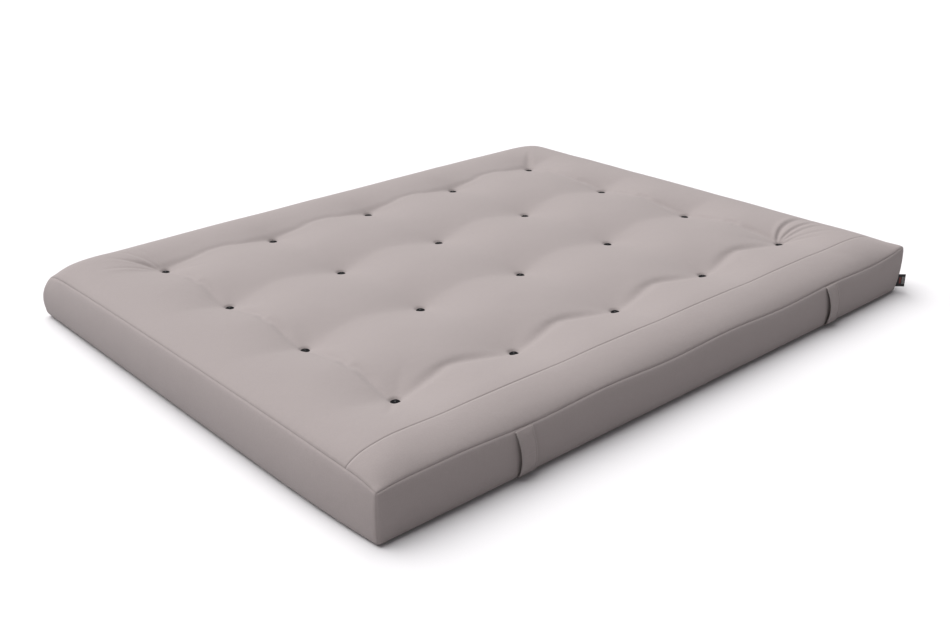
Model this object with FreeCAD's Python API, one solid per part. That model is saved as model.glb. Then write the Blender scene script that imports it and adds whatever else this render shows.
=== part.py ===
"""Tufted futon mattress: a coir slab in cotton wadding, held in a sewn cotton cover.

The origin is at the centre of the underside. +X runs along the length, the two
carry straps are on the -Y side, and +Z is up. All sizes are in millimetres.
"""
import FreeCAD
import Part
import math
import os

V = FreeCAD.Vector

# Overall sizes, from corner seam to corner seam and from the floor to the crown
length = 2000.0
width = 1600.0
thickness = 160.0

# Edge shape of the filled cover
crown_rise = 32.0        # crown above the top seam
shoulder_run = 60.0      # top seam to the level crown
bottom_seam_z = 12.0
base_tuck = 30.0         # bottom seam to the level underside
edge_bulge = 20.0        # how far the side bands swell past the seams
corner_swell = 6.0       # swell at the upright corner seams
side_bow = 25.0          # bow, in plan, that lets the swell grow away from the corners

# Cover
cloth = 1.5
strip_width = 105.0      # top strip along the front edge

# Core and wadding
core_thickness = 25.0
core_edge_margin = 10.0  # core edge inside the corner seams
wadding_layers = 3       # above the core, and again below it

# Tufts
tuft_columns = 5
tuft_rows = 4
tuft_end_margin = 258.0
tuft_front_margin = 270.0
tuft_back_margin = 226.0
tuft_depth = 30.0
dimple_radius = 160.0
tuft_radius = 12.0
tuft_thickness = 5.0
tuft_seat_gap = 2.0      # level seat around a tuft
twine_radius = 1.5
twine_hole_gap = 0.3

# Carry straps on the front band
strap_width = 50.0
strap_thickness = 2.5
strap_end_distance = 400.0   # strap centre from each end of the mattress
strap_stand_off = 8.0        # hand gap behind the middle of the strap
strap_end_gap = 0.6          # strap end clear of the band
strap_seam_gap = 3.0         # strap end short of the seam line

# Woven tab in the front right corner seam
tab_reach = 22.0
tab_height = 40.0
tab_thickness = 1.2
tab_bottom_z = 15.0
tab_gap = 1.0            # tab root clear of the corner seam

top_seam_z = thickness - crown_rise
seam_mid_z = (top_seam_z + bottom_seam_z) / 2
core_bottom_z = (thickness - core_thickness) / 2
core_top_z = core_bottom_z + core_thickness
reach = length + width   # longer than any half of the mattress


def level_arc(level_end, far_end):
    """Arc in the x-z plane that leaves level_end level and ends at far_end."""
    run = far_end.x - level_end.x
    rise = far_end.z - level_end.z
    half_turn = math.atan2(abs(rise), abs(run))
    radius = (run ** 2 + rise ** 2) / (2 * abs(rise))
    middle = V(level_end.x + math.copysign(radius * math.sin(half_turn), run), 0,
               level_end.z + math.copysign(radius * (1 - math.cos(half_turn)), rise))
    return Part.Arc(level_end, middle, far_end).toShape()


def side_edges(half):
    """The rounded base, swollen band and rounded shoulder on the +X side of a section."""
    base = V(half - base_tuck, 0, 0)
    low_seam = V(half, 0, bottom_seam_z)
    swell = V(half + edge_bulge, 0, seam_mid_z)
    high_seam = V(half, 0, top_seam_z)
    crown = V(half - shoulder_run, 0, thickness)
    return [level_arc(base, low_seam),
            Part.Arc(low_seam, swell, high_seam).toShape(),
            level_arc(crown, high_seam)]


def section(half, inset):
    """Cross-section face in the x-z plane, its outline set in by inset."""
    right = side_edges(half)
    left = [edge.mirror(V(0, 0, 0), V(1, 0, 0)) for edge in right]
    base = half - base_tuck
    crown = half - shoulder_run
    level = [Part.makeLine(V(-base, 0, 0), V(base, 0, 0)),
             Part.makeLine(V(-crown, 0, thickness), V(crown, 0, thickness))]
    outline = Part.Wire(Part.__sortEdges__(right + left + level))
    if inset:
        outline = outline.makeOffset2D(-inset)
    return Part.Face(outline)


def barrel(inset):
    """Upright prism with bowed sides, which pulls the swollen bands in at the corners."""
    half_x = length / 2 + corner_swell - inset
    half_y = width / 2 + corner_swell - inset
    corners = [V(half_x, -half_y, 0), V(half_x, half_y, 0), V(-half_x, half_y, 0), V(-half_x, -half_y, 0)]
    middles = [V(half_x + side_bow, 0, 0), V(0, half_y + side_bow, 0),
               V(-half_x - side_bow, 0, 0), V(0, -half_y - side_bow, 0)]
    sides = [Part.Arc(corners[i], middles[i], corners[(i + 1) % 4]).toShape() for i in range(4)]
    prism = Part.Face(Part.Wire(sides)).extrude(V(0, 0, 2 * thickness))
    return prism.translated(V(0, 0, -thickness / 2))


def pillow(inset):
    """The filled mattress as one solid with mitred corners, its faces set in by inset."""
    lengthwise = section(length / 2, inset)
    lengthwise.translate(V(0, -reach / 2, 0))
    crosswise = section(width / 2, inset)
    crosswise.rotate(V(0, 0, 0), V(0, 0, 1), 90)
    crosswise.translate(V(-reach / 2, 0, 0))
    body = lengthwise.extrude(V(0, reach, 0)).common(crosswise.extrude(V(reach, 0, 0)))
    return body.common(barrel(inset)).Solids[0]


def between(body, low, high):
    """The part of a body between two heights."""
    slab = Part.makeBox(reach, reach, high - low, V(-reach / 2, -reach / 2, low))
    return body.common(slab)


def spread(count, first, last):
    """Evenly spaced positions from first to last."""
    return [first + (last - first) * step / (count - 1) for step in range(count)]


def tuft_lines():
    """Positions of the tufts' columns along the length, and of their rows across the width."""
    columns = spread(tuft_columns, tuft_end_margin - length / 2, length / 2 - tuft_end_margin)
    rows = spread(tuft_rows, tuft_front_margin - width / 2, width / 2 - tuft_back_margin)
    return columns, rows


def tuft_places():
    """Row number, column number and place of each tuft, from the front left corner."""
    columns, rows = tuft_lines()
    return [(row, column, x, y)
            for row, y in enumerate(rows, 1)
            for column, x in enumerate(columns, 1)]


def cell_edges(lines):
    """Edges of the cells round evenly spaced lines: halfway between them, and past the outer ones."""
    halfway = [(before + after) / 2 for before, after in zip(lines, lines[1:])]
    return [-reach] + halfway + [reach]


def tuft_cell(row, column):
    """Room of one tuft's dimple, up to the ridges where wide dimples would meet."""
    columns, rows = tuft_lines()
    left, right = cell_edges(columns)[column - 1:column + 1]
    front, back = cell_edges(rows)[row - 1:row + 1]
    return Part.makeBox(right - left, back - front, 2 * thickness, V(left, front, -thickness / 2))


def dimples(side, level, depth):
    """Bowls of all the tufts, pressed into a level face; side is 1 on top and -1 below."""
    seat = tuft_radius + tuft_seat_gap
    rim = V(dimple_radius, 0, 0)
    seat_edge = V(seat, 0, -depth)
    outline = Part.Wire([Part.makeLine(V(0, 0, 0), rim),
                         level_arc(rim, seat_edge),
                         Part.makeLine(seat_edge, V(0, 0, -depth)),
                         Part.makeLine(V(0, 0, -depth), V(0, 0, 0))])
    bowl = Part.Face(outline).revolve(V(0, 0, 0), V(0, 0, 1), 360)
    if side < 0:
        bowl.rotate(V(0, 0, 0), V(1, 0, 0), 180)
    return [bowl.translated(V(x, y, level)).common(tuft_cell(row, column))
            for row, column, x, y in tuft_places()]


def twine_holes():
    """Cutters for the twine's holes, through the whole thickness."""
    radius = twine_radius + twine_hole_gap
    return [Part.makeCylinder(radius, 2 * thickness, V(x, y, -thickness / 2))
            for _, _, x, y in tuft_places()]


def pressed(layer, side, outer_level, outer_depth, inner_level, inner_depth):
    """Press the tufts' dimples into both faces of a layer, and pierce it for the twine."""
    if inner_depth:
        layer = layer.fuse(dimples(side, inner_level, inner_depth))
    return layer.cut(dimples(side, outer_level, outer_depth)).cut(twine_holes())


def wadding(filling):
    """The wadding layers above and below the core, numbered outwards from the core."""
    pieces = {}
    levels = spread(wadding_layers + 1, core_top_z, thickness - cloth)
    depths = spread(wadding_layers + 1, 0.0, tuft_depth)
    for number in range(1, wadding_layers + 1):
        inner, outer = levels[number - 1], levels[number]
        inner_depth, outer_depth = depths[number - 1], depths[number]
        upper = between(filling, inner, outer)
        lower = between(filling, thickness - outer, thickness - inner)
        pieces[f"wadding_upper_{number}"] = pressed(upper, 1, outer, outer_depth, inner, inner_depth)
        pieces[f"wadding_lower_{number}"] = pressed(
            lower, -1, thickness - outer, outer_depth, thickness - inner, inner_depth)
    return pieces


def core_block():
    """The coir slab before it is pierced."""
    size_x = length - 2 * core_edge_margin
    size_y = width - 2 * core_edge_margin
    return Part.makeBox(size_x, size_y, core_thickness, V(-size_x / 2, -size_y / 2, core_bottom_z))


def core_and_border(filling):
    """The pierced coir slab and the wadding roll round its edge."""
    return {"coir_core": core_block().cut(twine_holes()),
            "wadding_border": between(filling, core_bottom_z, core_top_z).cut(core_block())}


def corner_prism(corners):
    """Upright prism over a plan outline, between the seams."""
    points = [V(x, y, bottom_seam_z) for x, y in corners]
    return Part.Face(Part.makePolygon(points + points[:1])).extrude(V(0, 0, top_seam_z - bottom_seam_z))


def side_bands(shell):
    """The four side bands, mitred at the corner seams."""
    middle = between(shell, bottom_seam_z, top_seam_z)
    out = 4 * edge_bulge
    far_x, far_y = length / 2 + out, width / 2 + out
    ridge = (length - width) / 2
    front = [(-far_x, -far_y), (far_x, -far_y), (ridge, 0), (-ridge, 0)]
    right = [(far_x, -far_y), (far_x, far_y), (ridge, 0)]
    back = [(-x, -y) for x, y in front]
    left = [(-x, -y) for x, y in right]
    outlines = {"cover_front_band": front, "cover_right_end_band": right,
                "cover_back_band": back, "cover_left_end_band": left}
    return {name: middle.common(corner_prism(corners)) for name, corners in outlines.items()}


def top_and_bottom(shell):
    """The top panel, the strip sewn along its front edge, and the bottom panel."""
    crown = between(shell, top_seam_z, thickness)
    top = pressed(crown, 1, thickness, tuft_depth, thickness - cloth, tuft_depth)
    bottom = pressed(between(shell, 0, bottom_seam_z), -1, 0, tuft_depth, cloth, tuft_depth)
    strip_box = Part.makeBox(reach, strip_width + reach, thickness,
                             V(-reach / 2, -width / 2 - reach, top_seam_z))
    return {"cover_top_panel": top.cut(strip_box),
            "cover_top_strip": top.common(strip_box),
            "cover_bottom_panel": bottom}


def tufts():
    """The pads in the dimples, and the twine that ties each top pad to its bottom pad."""
    pieces = {}
    twines = []
    seat_high = thickness - tuft_depth
    for row, column, x, y in tuft_places():
        pieces[f"tuft_top_row{row}_col{column}"] = Part.makeCylinder(
            tuft_radius, tuft_thickness, V(x, y, seat_high))
        pieces[f"tuft_bottom_row{row}_col{column}"] = Part.makeCylinder(
            tuft_radius, tuft_thickness, V(x, y, tuft_depth - tuft_thickness))
        twines.append(Part.makeCylinder(twine_radius, seat_high - tuft_depth, V(x, y, tuft_depth)))
    pieces["tuft_twines"] = Part.makeCompound(twines)
    return pieces


def band_swell(z):
    """How far the band stands outside the seams at a height."""
    half_chord = (top_seam_z - bottom_seam_z) / 2
    radius = (half_chord ** 2 + edge_bulge ** 2) / (2 * edge_bulge)
    return math.sqrt(radius ** 2 - (z - seam_mid_z) ** 2) - (radius - edge_bulge)


def carry_strap(centre_x):
    """One strap, bowed off the front band so that a hand goes behind it."""
    low_z = bottom_seam_z + strap_seam_gap
    high_z = top_seam_z - strap_seam_gap
    inner_y = -width / 2 - band_swell(high_z) - strap_end_gap
    inner_mid_y = -width / 2 - edge_bulge - strap_stand_off
    left_x = centre_x - strap_width / 2
    inner_low = V(left_x, inner_y, low_z)
    inner_high = V(left_x, inner_y, high_z)
    outward = V(0, -strap_thickness, 0)
    outer_low = inner_low + outward
    outer_high = inner_high + outward
    inner_mid = V(left_x, inner_mid_y, seam_mid_z)
    outline = Part.Wire([Part.Arc(inner_low, inner_mid, inner_high).toShape(),
                         Part.makeLine(inner_high, outer_high),
                         Part.Arc(outer_high, inner_mid + outward, outer_low).toShape(),
                         Part.makeLine(outer_low, inner_low)])
    return Part.Face(outline).extrude(V(strap_width, 0, 0))


def straps():
    """The two carry straps."""
    place = length / 2 - strap_end_distance
    return {"carry_strap_left": carry_strap(-place), "carry_strap_right": carry_strap(place)}


def side_tab():
    """The folded tab that stands out of the front right corner seam."""
    root = math.sqrt(2) * corner_swell + tab_gap
    leaf = Part.makeBox(tab_reach, tab_thickness, tab_height, V(root, -tab_thickness / 2, tab_bottom_z))
    leaf.rotate(V(0, 0, 0), V(0, 0, 1), -45)
    leaf.translate(V(length / 2, -width / 2, 0))
    return {"side_tab": leaf}


def export(pieces):
    """Write each piece to its own file."""
    os.makedirs("parts", exist_ok=True)
    for name, shape in pieces.items():
        shape.exportStep(f"parts/{name}.step")


def main():
    """Build every piece and write it out."""
    filling = pillow(cloth)
    shell = pillow(0.0).cut(filling)
    pieces = core_and_border(filling)
    pieces.update(wadding(filling))
    pieces.update(top_and_bottom(shell))
    pieces.update(side_bands(shell))
    pieces.update(tufts())
    pieces.update(straps())
    pieces.update(side_tab())
    export(pieces)


main()
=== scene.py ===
"""Looks of a tufted futon mattress: sewn cotton cover, felt tufts, carry straps, tab and filling.

Lengths are in metres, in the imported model's own frame: +X along the length, the carry
straps on the -Y side, +Z up and the floor at zero.
"""
from __future__ import annotations

import logging
import math
from collections.abc import Callable
from dataclasses import dataclass, field
from enum import Enum

import bmesh
import bpy
import numpy as np
from mathutils import Matrix, Vector, noise
from mathutils.bvhtree import BVHTree

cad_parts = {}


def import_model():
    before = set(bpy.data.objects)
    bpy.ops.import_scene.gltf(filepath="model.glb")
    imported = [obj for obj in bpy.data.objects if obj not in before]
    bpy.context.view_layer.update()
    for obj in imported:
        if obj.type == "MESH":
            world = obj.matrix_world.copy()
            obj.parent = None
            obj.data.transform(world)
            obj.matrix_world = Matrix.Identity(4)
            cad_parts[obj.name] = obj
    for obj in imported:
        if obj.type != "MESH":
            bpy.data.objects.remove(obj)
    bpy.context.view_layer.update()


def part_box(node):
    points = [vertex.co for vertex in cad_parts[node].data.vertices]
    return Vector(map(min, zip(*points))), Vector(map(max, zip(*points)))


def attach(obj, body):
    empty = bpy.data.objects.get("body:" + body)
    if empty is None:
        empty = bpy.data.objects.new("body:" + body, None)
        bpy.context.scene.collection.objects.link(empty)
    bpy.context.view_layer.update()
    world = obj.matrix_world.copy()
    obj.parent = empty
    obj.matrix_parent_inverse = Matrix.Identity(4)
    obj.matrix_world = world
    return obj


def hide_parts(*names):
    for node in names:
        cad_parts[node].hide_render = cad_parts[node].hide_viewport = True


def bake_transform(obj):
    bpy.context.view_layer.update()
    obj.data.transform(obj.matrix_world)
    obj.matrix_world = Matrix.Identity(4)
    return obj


log = logging.getLogger("futon")

ROOT = "mattress"
Colour = tuple[float, float, float]
Height = Callable[[float, float], float]


class Panel(Enum):
    """Sewn panels of the cover, by the node that each one stands for."""

    TOP = "cover_top_panel"
    STRIP = "cover_top_strip"
    FRONT = "cover_front_band"
    BACK = "cover_back_band"
    LEFT = "cover_left_end_band"
    RIGHT = "cover_right_end_band"
    BOTTOM = "cover_bottom_panel"


class Side(Enum):
    """Upper or lower face of the mattress."""

    TOP = 1
    BOTTOM = -1


PANELS = list(Panel)


# ---------------------------------------------------------------- small helpers


def smooth_step(value: np.ndarray) -> np.ndarray:
    """Ease from 0 to 1 while value goes from 0 to 1."""
    clipped = np.clip(value, 0.0, 1.0)
    return clipped * clipped * (3 - 2 * clipped)


def shoulder(share: np.ndarray) -> np.ndarray:
    """Fall of a rounded edge: 1 at the seam, where it is steep, and 0 where share reaches 1."""
    out = 1.0 - np.clip(share, 0.0, 1.0)
    return 0.55 * out ** 2.2 + 0.45 * out ** 7


def swell(share: np.ndarray) -> np.ndarray:
    """Outward swell of a band between its lower seam (0) and its upper seam (1)."""
    return np.sin(np.pi * np.clip(share, 0.0, 1.0)) ** 0.8


def rumple(points: np.ndarray, scale: float, seed: float) -> np.ndarray:
    """Smooth noise from -1 to 1 at each point.

    Args:
        points: Positions, one per row.
        scale: Noise cells per metre.
        seed: Offset that picks another stretch of the same noise.

    Returns:
        One value per point.
    """
    offset = Vector((seed, seed * 1.7, seed * 2.3))
    return np.array([noise.noise(Vector(p) * scale + offset) for p in points])


def mesh_points(mesh: bpy.types.Mesh) -> np.ndarray:
    """Vertex positions of a mesh, one per row."""
    flat = np.empty(len(mesh.vertices) * 3)
    mesh.vertices.foreach_get("co", flat)
    return flat.reshape(-1, 3)


def set_mesh_points(mesh: bpy.types.Mesh, points: np.ndarray) -> None:
    """Write vertex positions back to a mesh."""
    mesh.vertices.foreach_set("co", np.ascontiguousarray(points, dtype=np.float64).ravel())
    mesh.update()


def make_object(name: str, bm: bmesh.types.BMesh, materials: list[bpy.types.Material],
                smooth: bool = True) -> bpy.types.Object:
    """Turn a bmesh into a finished object in the scene.

    Args:
        name: Name of the object and its mesh.
        bm: The bmesh, which is freed.
        materials: Materials, in slot order.
        smooth: Whether faces shade smooth.

    Returns:
        The new object.
    """
    mesh = bpy.data.meshes.new(name)
    bm.to_mesh(mesh)
    bm.free()
    for material in materials:
        mesh.materials.append(material)
    mesh.polygons.foreach_set("use_smooth", [smooth] * len(mesh.polygons))
    piece = bpy.data.objects.new(name, mesh)
    bpy.context.scene.collection.objects.link(piece)
    return piece


def baked_mesh(piece: bpy.types.Object) -> bpy.types.Mesh:
    """Copy of a piece's mesh with its modifiers applied."""
    graph = bpy.context.evaluated_depsgraph_get()
    return bpy.data.meshes.new_from_object(piece.evaluated_get(graph), depsgraph=graph)


def dress(piece: bpy.types.Object, body: str, slot: str, *nodes: str) -> None:
    """Let a piece ride on a body and stand for its nodes, which are hidden."""
    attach(piece, body)
    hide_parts(*nodes)


# ---------------------------------------------------------------- finishes


class Nodes:
    """Short way to build a material's node tree."""

    def __init__(self, name: str) -> None:
        """Start a node material with an empty tree.

        Args:
            name: Name of the material.
        """
        self.material = bpy.data.materials.new(name)
        self.material.use_nodes = True
        self.tree = self.material.node_tree
        self.tree.nodes.clear()
        self.output = self.tree.nodes.new("ShaderNodeOutputMaterial")

    def add(self, kind: str, inputs: dict[str, object] | None = None, **settings: object) -> bpy.types.Node:
        """Add a node, set its properties, and set or link its inputs.

        Args:
            kind: Node type without the ShaderNode prefix.
            inputs: Socket name to a value, or to a socket to link from.
            **settings: Node properties.

        Returns:
            The node.
        """
        node = self.tree.nodes.new("ShaderNode" + kind)
        for key, value in settings.items():
            setattr(node, key, value)
        for key, value in (inputs or {}).items():
            socket = node.inputs[int(key)] if key.isdigit() else node.inputs[key]
            if isinstance(value, bpy.types.NodeSocket):
                self.tree.links.new(value, socket)
            else:
                socket.default_value = value
        return node

    def math(self, operation: str, *values: object) -> bpy.types.NodeSocket:
        """Add a Math node over the values, and return its result."""
        inputs = {str(i): value for i, value in enumerate(values)}
        return self.add("Math", inputs, operation=operation).outputs[0]

    def mix(self, share: object, first: object, second: object) -> bpy.types.NodeSocket:
        """Blend two colours by a share, and return the result."""
        node = self.add("Mix", {"0": share}, data_type="RGBA")
        for socket, value in ((node.inputs[6], first), (node.inputs[7], second)):
            if isinstance(value, bpy.types.NodeSocket):
                self.tree.links.new(value, socket)
            else:
                socket.default_value = (*value, 1.0)
        return node.outputs[2]

    def noise(self, vector: object, scale: float, detail: float = 3.0) -> bpy.types.NodeSocket:
        """Add a Noise texture, and return its factor."""
        inputs = {"Vector": vector, "Scale": scale, "Detail": detail}
        return self.add("TexNoise", inputs).outputs["Fac"]

    def bump(self, height: object, distance: float, strength: float = 1.0,
             normal: object = None) -> bpy.types.NodeSocket:
        """Add a Bump node, and return its normal."""
        inputs = {"Height": height, "Distance": distance, "Strength": strength}
        if normal is not None:
            inputs["Normal"] = normal
        return self.add("Bump", inputs).outputs[0]

    def finish(self, **inputs: object) -> bpy.types.Material:
        """Add the surface shader with its inputs, and return the material.

        Args:
            **inputs: Principled socket names, with spaces written as underscores.

        Returns:
            The material.
        """
        named = {key.replace("_", " "): value for key, value in inputs.items()}
        shader = self.add("BsdfPrincipled", named)
        self.tree.links.new(shader.outputs[0], self.output.inputs["Surface"])
        return self.material


@dataclass(frozen=True)
class CottonFinish:
    """Matt plain-weave cotton, dyed in the piece."""

    name: str
    colour: Colour
    thread_pitch: float = 0.0009
    sheen: float = 0.12

    def material(self) -> bpy.types.Material:
        """Build the material. The weave follows the cloth's own flat map, with faint painted shade in its
        gaps.
        """
        nodes = Nodes(self.name)
        flat = nodes.add("UVMap", uv_map="cloth").outputs[0]
        place = nodes.add("TexCoord").outputs["Object"]
        waves = 0.314 / self.thread_pitch
        warp = nodes.add("TexWave", {"Vector": flat, "Scale": waves, "Distortion": 1.2, "Detail": 1.0},
                         bands_direction="X").outputs["Fac"]
        weft = nodes.add("TexWave", {"Vector": flat, "Scale": waves, "Distortion": 1.2, "Detail": 1.0},
                         bands_direction="Y").outputs["Fac"]
        weave = nodes.math("MAXIMUM", warp, weft)
        along = nodes.add("Mapping", {"Vector": flat, "Scale": (9.0, 1.0, 1.0)}).outputs[0]
        across = nodes.add("Mapping", {"Vector": flat, "Scale": (1.0, 9.0, 1.0)}).outputs[0]
        slubs = nodes.math("ADD", nodes.noise(along, 60.0, 4.0), nodes.noise(across, 60.0, 4.0))
        slub_share = nodes.math("MULTIPLY_ADD", slubs, 0.9, -0.4)
        dark = tuple(c * 0.93 for c in self.colour)
        light = tuple(min(1.0, c * 1.06) for c in self.colour)
        cloth = nodes.mix(slub_share, dark, light)
        grain = nodes.math("MULTIPLY_ADD", nodes.noise(flat, 190.0, 2.0), 2.4, -0.7)
        cloth = nodes.mix(nodes.math("MULTIPLY", grain, 0.35), cloth, dark)
        patches = nodes.noise(place, 2.2, 3.0)
        faded = nodes.mix(nodes.math("MULTIPLY", patches, 0.16), cloth, tuple(c * 0.86 for c in self.colour))
        # Painted shade: the gaps between the threads of the weave are coloured a little darker than the
        # threads.
        shaded_weave = nodes.mix(nodes.math("MULTIPLY", weave, 0.12), tuple(c * 0.8 for c in self.colour), faded)
        tone = nodes.mix(0.8, shaded_weave, faded)
        fuzz = nodes.noise(flat, 900.0, 2.0)
        rough = nodes.math("MULTIPLY_ADD", fuzz, 0.1, 0.84)
        rumpled = nodes.bump(nodes.noise(place, 38.0, 3.0), 0.0012, 0.35)
        soft = nodes.bump(nodes.noise(flat, 230.0, 3.0), 0.0007, 0.5, rumpled)
        fine = nodes.bump(weave, 0.00022, 0.5, soft)
        fibre = nodes.bump(fuzz, 0.0002, 0.35, fine)
        return nodes.finish(Base_Color=tone, Roughness=rough, Normal=fibre, Sheen_Weight=self.sheen,
                            Sheen_Roughness=0.55, Specular_IOR_Level=0.22)


@dataclass(frozen=True)
class FluffFinish:
    """Carded cotton wadding: white, matt and cloudy."""

    name: str
    colour: Colour

    def material(self) -> bpy.types.Material:
        """Build the material."""
        nodes = Nodes(self.name)
        place = nodes.add("TexCoord").outputs["Object"]
        clouds = nodes.noise(place, 22.0, 8.0)
        flattened = nodes.add("Mapping", {"Vector": place, "Scale": (1.0, 1.0, 5.0)}).outputs[0]
        wisps = nodes.noise(flattened, 90.0, 6.0)
        flecks = nodes.math("GREATER_THAN", nodes.noise(place, 260.0, 1.0), 0.74)
        shade = nodes.mix(clouds, tuple(c * 0.86 for c in self.colour), self.colour)
        seedy = nodes.mix(nodes.math("MULTIPLY", flecks, 0.4), shade, (0.42, 0.34, 0.22))
        puff = nodes.bump(clouds, 0.006, 0.6)
        lint = nodes.bump(wisps, 0.002, 0.7, puff)
        rough = nodes.math("MULTIPLY_ADD", wisps, 0.08, 0.9)
        return nodes.finish(Base_Color=seedy, Roughness=rough, Normal=lint, Sheen_Weight=0.4,
                            Sheen_Roughness=0.5, Specular_IOR_Level=0.1)


@dataclass(frozen=True)
class CoirFinish:
    """Rubberised coconut fibre: a brown mat of crossing strands."""

    name: str
    colour: Colour
    light: Colour

    def material(self) -> bpy.types.Material:
        """Build the material, from strands that run three ways."""
        nodes = Nodes(self.name)
        place = nodes.add("TexCoord").outputs["Object"]
        strands: object = 0.0
        for turn, scale in ((0.3, 210.0), (1.4, 260.0), (2.5, 180.0)):
            turned = nodes.add("Mapping", {"Vector": place, "Rotation": (turn * 0.4, 0.2, turn),
                                           "Scale": (0.14, 1.0, 1.0)}).outputs[0]
            lines = nodes.math("PINGPONG", nodes.noise(turned, scale, 2.0), 0.5)
            strands = nodes.math("MAXIMUM", strands, nodes.math("MULTIPLY", lines, 2.0))
        share = nodes.math("POWER", strands, 3.0)
        clumps = nodes.noise(place, 14.0, 5.0)
        base = nodes.mix(clumps, tuple(c * 0.45 for c in self.colour), self.colour)
        tone = nodes.mix(share, base, self.light)
        mat = nodes.bump(strands, 0.0025, 0.8)
        lumps = nodes.bump(clumps, 0.004, 0.4, mat)
        rough = nodes.math("MULTIPLY_ADD", share, -0.2, 0.8)
        return nodes.finish(Base_Color=tone, Roughness=rough, Normal=lumps, Specular_IOR_Level=0.3)


@dataclass(frozen=True)
class FeltFinish:
    """Dense dark felt with a short nap."""

    name: str
    colour: Colour
    nap: Colour

    def material(self) -> bpy.types.Material:
        """Build the material."""
        nodes = Nodes(self.name)
        place = nodes.add("TexCoord").outputs["Object"]
        hairs = nodes.noise(place, 1500.0, 4.0)
        felted = nodes.noise(place, 320.0, 4.0)
        share = nodes.math("MULTIPLY", nodes.math("POWER", hairs, 3.0), 1.6)
        tone = nodes.mix(share, self.colour, self.nap)
        lumpy = nodes.bump(felted, 0.0007, 0.8)
        hairy = nodes.bump(hairs, 0.0003, 0.8, lumpy)
        rough = nodes.math("MULTIPLY_ADD", felted, 0.1, 0.86)
        return nodes.finish(Base_Color=tone, Roughness=rough, Normal=hairy, Specular_IOR_Level=0.06)


@dataclass(frozen=True)
class ThreadFinish:
    """Twisted thread or twine with a slight gloss."""

    name: str
    colour: Colour
    gloss: float = 0.45
    twist_pitch: float = 0.0011

    def material(self) -> bpy.types.Material:
        """Build the material, with the ply's slanting ridges and painted shade in the grooves between them.
        """
        nodes = Nodes(self.name)
        place = nodes.add("TexCoord").outputs["Object"]
        slant = nodes.add("TexWave", {"Vector": place, "Scale": 0.314 / self.twist_pitch, "Distortion": 0.6},
                          bands_direction="DIAGONAL").outputs["Fac"]
        # Painted shade: the grooves between the ply's ridges are coloured darker, down to 0.6 of the colour.
        tone = nodes.mix(slant, tuple(c * 0.6 for c in self.colour), self.colour)
        ply = nodes.bump(slant, 0.0002, 0.6)
        rough = nodes.math("MULTIPLY_ADD", slant, 0.15, self.gloss)
        return nodes.finish(Base_Color=tone, Roughness=rough, Normal=ply, Specular_IOR_Level=0.5)


@dataclass(frozen=True)
class RibbonFinish:
    """Black damask ribbon with a plain woven block and plain lines, mapped on the tab's own flat map."""

    name: str
    ground: Colour
    block: Colour
    line: Colour

    def inside(self, nodes: Nodes, coordinate: object, low: float, high: float) -> bpy.types.NodeSocket:
        """Mask that is 1 where the coordinate lies between low and high."""
        above = nodes.math("GREATER_THAN", coordinate, low)
        return nodes.math("MULTIPLY", above, nodes.math("LESS_THAN", coordinate, high))

    def material(self) -> bpy.types.Material:
        """Build the material, with a painted highlight on the raised threads of the weave."""
        nodes = Nodes(self.name)
        flat = nodes.add("UVMap", uv_map="cloth").outputs[0]
        split = nodes.add("SeparateXYZ", {"0": flat})
        across, up = split.outputs[0], split.outputs[1]
        ribs = nodes.add("TexWave", {"Vector": flat, "Scale": 0.314 / 0.0006},
                         bands_direction="Y").outputs["Fac"]
        picks = nodes.add("TexWave", {"Vector": flat, "Scale": 0.314 / 0.0008},
                          bands_direction="X").outputs["Fac"]
        weave = nodes.math("MAXIMUM", ribs, picks)
        block = nodes.math("MULTIPLY", self.inside(nodes, across, 0.0035, 0.0095),
                           self.inside(nodes, up, 0.010, 0.030))
        bars: object = 0.0
        for low in (0.0120, 0.0148, 0.0176):
            bar = self.inside(nodes, across, low, low + 0.0011)
            bars = nodes.math("MAXIMUM", bars, bar)
        lines = nodes.math("MULTIPLY", bars, self.inside(nodes, up, 0.008, 0.032))
        # Painted highlight: the raised threads of the weave are coloured lighter than the ground.
        raised = tuple(c * 2.2 for c in self.ground)
        ground = nodes.mix(nodes.math("MULTIPLY", weave, 0.5), self.ground, raised)
        marked = nodes.mix(nodes.math("MULTIPLY", block, 0.85), ground, self.block)
        tone = nodes.mix(nodes.math("MULTIPLY", lines, 0.8), marked, self.line)
        raised = nodes.math("ADD", weave, nodes.math("MULTIPLY", nodes.math("MAXIMUM", block, lines), 0.8))
        rough = nodes.math("MULTIPLY_ADD", weave, 0.2, 0.45)
        return nodes.finish(Base_Color=tone, Roughness=rough, Normal=nodes.bump(raised, 0.00025, 0.7),
                            Specular_IOR_Level=0.4)


@dataclass(frozen=True)
class PaintedFloorFinish:
    """Plain pale studio floor."""

    name: str
    colour: Colour

    def material(self) -> bpy.types.Material:
        """Build the material."""
        nodes = Nodes(self.name)
        place = nodes.add("TexCoord").outputs["Object"]
        grain = nodes.noise(place, 30.0, 2.0)
        darker = tuple(0.95 * c for c in self.colour)
        tone = nodes.mix(nodes.math("MULTIPLY", grain, 0.02), self.colour, darker)
        return nodes.finish(Base_Color=tone, Roughness=0.9, Specular_IOR_Level=0.1)


# ---------------------------------------------------------------- sizes from the frame


@dataclass(frozen=True)
class MattressSizes:
    """Seam and crown sizes of the mattress, read from the frame."""

    half_length: float
    half_width: float
    crown: float
    top_seam: float
    bottom_seam: float
    strip_seam: float
    core_low: float
    core_high: float

    @classmethod
    def from_frame(cls) -> MattressSizes:
        """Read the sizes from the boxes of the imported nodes."""
        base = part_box(Panel.BOTTOM.value)
        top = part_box(Panel.TOP.value)
        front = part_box(Panel.FRONT.value)
        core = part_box("coir_core")
        return cls(half_length=base[1][0], half_width=base[1][1], crown=top[1][2], top_seam=top[0][2],
                   bottom_seam=front[0][2], strip_seam=top[0][1],
                   core_low=core[0][2], core_high=core[1][2])


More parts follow.
